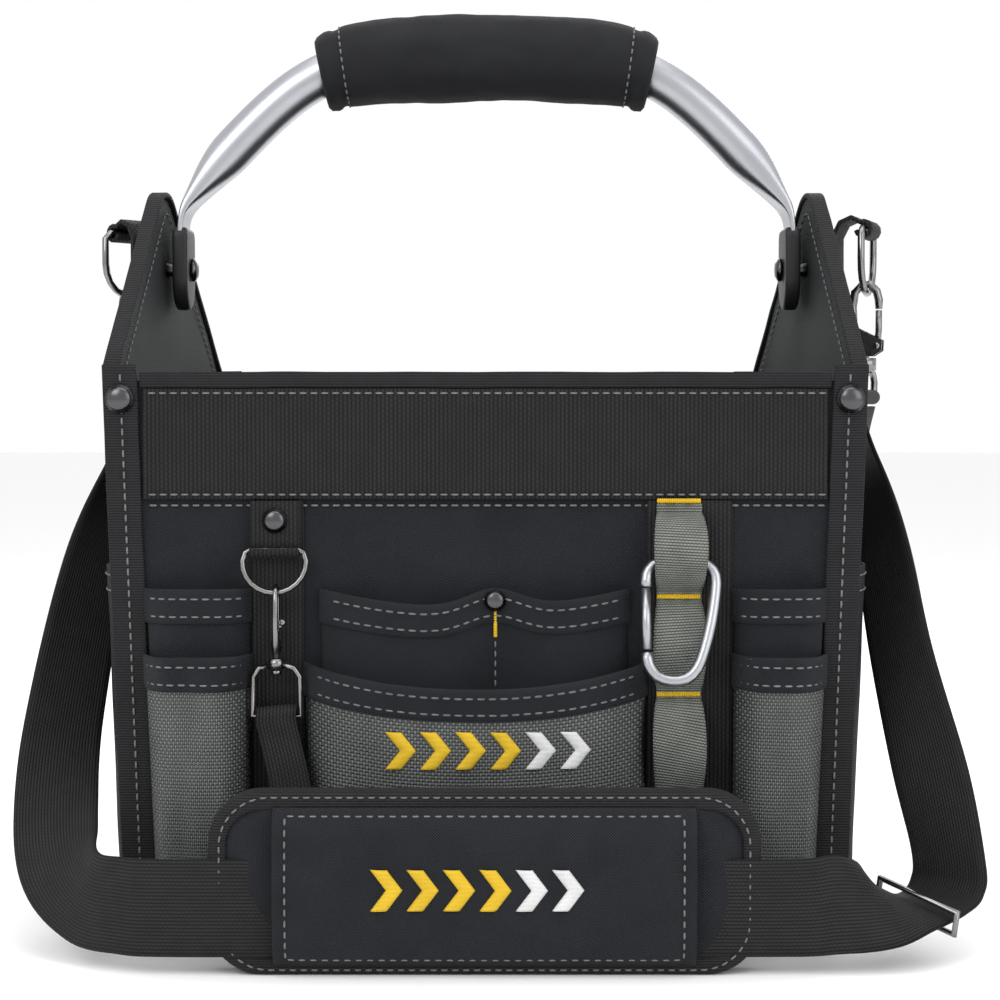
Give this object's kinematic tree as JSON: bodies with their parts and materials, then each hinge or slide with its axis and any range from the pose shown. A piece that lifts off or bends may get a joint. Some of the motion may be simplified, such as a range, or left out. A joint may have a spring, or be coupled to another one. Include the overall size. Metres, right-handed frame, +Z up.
{
  "type": "garden tool bag",
  "caption": "Open-top fabric tool tote with peaked sides, a swinging metal handle, layered pockets, clips and a padded shoulder strap.",
  "frame": {"origin": "middle of the base's underside, on the floor", "axes": "+Z up; the pocketed front faces -Y; +X to the right seen from the front; the handle turns about an axis along X"},
  "size_m": [0.3965, 0.2483, 0.3957],
  "materials": {
    "fabric": "woven twill",
    "lining": "smooth coated cloth",
    "ballistic_fabric": "basket weave",
    "webbing": "ribbed webbing",
    "grey_webbing": "ribbed webbing",
    "binding_tape": "grosgrain tape",
    "stiffener_board": "sheet",
    "grip_fabric": "padded neoprene",
    "moulded_plastic": "moulded",
    "aluminium": "satin",
    "blackened_steel": "dark plated"
  },
  "bodies": {
    "bag": {"front_panel": "fabric", "back_panel": "fabric", "left_upper_pocket": "fabric", "right_upper_pocket": "fabric", "centre_upper_pocket": "fabric", "left_side_pocket": "fabric", "right_side_pocket": "fabric", "left_side_panel": "lining", "right_side_panel": "lining", "left_lower_pocket": "ballistic_fabric", "right_lower_pocket": "ballistic_fabric", "centre_lower_pocket": "ballistic_fabric", "top_band": "webbing", "left_strip": "webbing", "right_strip": "webbing", "left_strap_tab": "webbing", "right_strap_tab": "webbing", "front_tab": "webbing", "shoulder_strap": "webbing", "daisy_chain": "grey_webbing", "base_panel": "binding_tape", "front_hem": "binding_tape", "back_hem": "binding_tape", "front_left_binding": "binding_tape", "front_right_binding": "binding_tape", "back_left_binding": "binding_tape", "back_right_binding": "binding_tape", "left_peak_binding": "binding_tape", "right_peak_binding": "binding_tape", "base_board": "stiffener_board", "front_board": "stiffener_board", "back_board": "stiffener_board", "left_corner_rivet": "blackened_steel", "right_corner_rivet": "blackened_steel", "pocket_rivet": "blackened_steel", "left_pivot_screw": "blackened_steel", "right_pivot_screw": "blackened_steel", "front_tab_rivet": "blackened_steel"},
    "handle": {"handle_tube": "aluminium", "handle_grip": "grip_fabric", "left_handle_bracket": "moulded_plastic", "right_handle_bracket": "moulded_plastic"},
    "left_ring": {"left_strap_ring": "blackened_steel"},
    "right_ring": {"right_strap_ring": "blackened_steel"},
    "left_snap_hook": {"left_hook": "blackened_steel"},
    "right_snap_hook": {"right_hook": "blackened_steel"},
    "left_gate": {"left_hook_gate": "blackened_steel"},
    "right_gate": {"right_hook_gate": "blackened_steel"},
    "left_eye": {"left_swivel_eye": "blackened_steel"},
    "right_eye": {"right_swivel_eye": "blackened_steel"},
    "front_ring_body": {"front_ring": "blackened_steel"},
    "clip": {"clip_hook": "blackened_steel"},
    "clip_lanyard": {"clip_eye": "blackened_steel", "lanyard_strap": "webbing"},
    "carabiner": {"carabiner_frame": "aluminium"},
    "carabiner_gate_body": {"carabiner_gate": "aluminium"},
    "pad": {"shoulder_pad": "fabric", "pad_cover": "fabric"},
    "slider": {"strap_slider": "blackened_steel"}
  },
  "joints": [
    {"name": "handle_swing", "type": "hinge", "parent": "bag", "child": "handle", "pos_m": [0, 0, 0.282], "axis": [1, 0, 0], "range_deg": [-100, 100]},
    {"name": "left_ring_swing", "type": "hinge", "parent": "bag", "child": "left_ring", "pos_m": [-0.16479, 0.02757, 0.3], "axis": [0.6428, 0.766, 0], "range_deg": [-5, 5]},
    {"name": "left_hook_swing", "type": "hinge", "parent": "left_ring", "child": "left_snap_hook", "pos_m": [-0.16479, 0.02757, 0.2715], "axis": [0.6428, 0.766, 0], "range_deg": [-5, 5]},
    {"name": "left_gate_hinge", "type": "hinge", "parent": "left_snap_hook", "child": "left_gate", "pos_m": [-0.16854, 0.03072, 0.248], "axis": [-0.6428, -0.766, 0], "range_deg": [-25, 0], "stiffness_Nm_per_rad": 0.02, "springref_deg": 11.46},
    {"name": "left_eye_swivel", "type": "hinge", "parent": "left_snap_hook", "child": "left_eye", "pos_m": [-0.16464, 0.02744, 0.2398], "axis": [0, 0, 1], "range_deg": [-20, 20]},
    {"name": "right_ring_swing", "type": "hinge", "parent": "bag", "child": "right_ring", "pos_m": [0.171, 0, 0.3], "axis": [0.342, 0.9397, 0], "range_deg": [-5, 5]},
    {"name": "right_hook_swing", "type": "hinge", "parent": "right_ring", "child": "right_snap_hook", "pos_m": [0.171, 0, 0.2715], "axis": [0.342, 0.9397, 0], "range_deg": [-5, 5]},
    {"name": "right_gate_hinge", "type": "hinge", "parent": "right_snap_hook", "child": "right_gate", "pos_m": [0.1756, -0.00168, 0.248], "axis": [0.342, 0.9397, 0], "range_deg": [-25, 0], "stiffness_Nm_per_rad": 0.02, "springref_deg": 11.46},
    {"name": "right_eye_swivel", "type": "hinge", "parent": "right_snap_hook", "child": "right_eye", "pos_m": [0.17081, 0.00007, 0.2398], "axis": [0, 0, 1], "range_deg": [-20, 20]},
    {"name": "front_ring_swing", "type": "hinge", "parent": "bag", "child": "front_ring_body", "pos_m": [-0.0857, -0.1004, 0.1625], "axis": [1, 0, 0], "range_deg": [-5, 0]},
    {"name": "clip_swing", "type": "hinge", "parent": "front_ring_body", "child": "clip", "pos_m": [-0.0857, -0.1041, 0.1454], "axis": [1, 0, 0], "range_deg": [-3, 0]},
    {"name": "clip_swivel", "type": "hinge", "parent": "clip", "child": "clip_lanyard", "pos_m": [-0.0847, -0.1041, 0.1167], "axis": [0, 0, 1], "range_deg": [-4, 4]},
    {"name": "carabiner_swing", "type": "hinge", "parent": "bag", "child": "carabiner", "pos_m": [0.079, -0.102, 0.157], "axis": [1, 0, 0], "range_deg": [-70, 0]},
    {"name": "carabiner_gate_hinge", "type": "hinge", "parent": "carabiner", "child": "carabiner_gate_body", "pos_m": [0.065, -0.11167, 0.12326], "axis": [0, 0.9613, 0.2756], "range_deg": [0, 25], "stiffness_Nm_per_rad": 0.02, "springref_deg": -11.46},
    {"name": "pad_slide", "type": "slide", "parent": "bag", "child": "pad", "axis": [1, 0, 0], "range_m": [-0.01, 0.01]},
    {"name": "slider_slide", "type": "slide", "parent": "bag", "child": "slider", "axis": [0.812, 0.5815, -0.0501], "range_m": [-0.003, 0.003]}
  ]
}
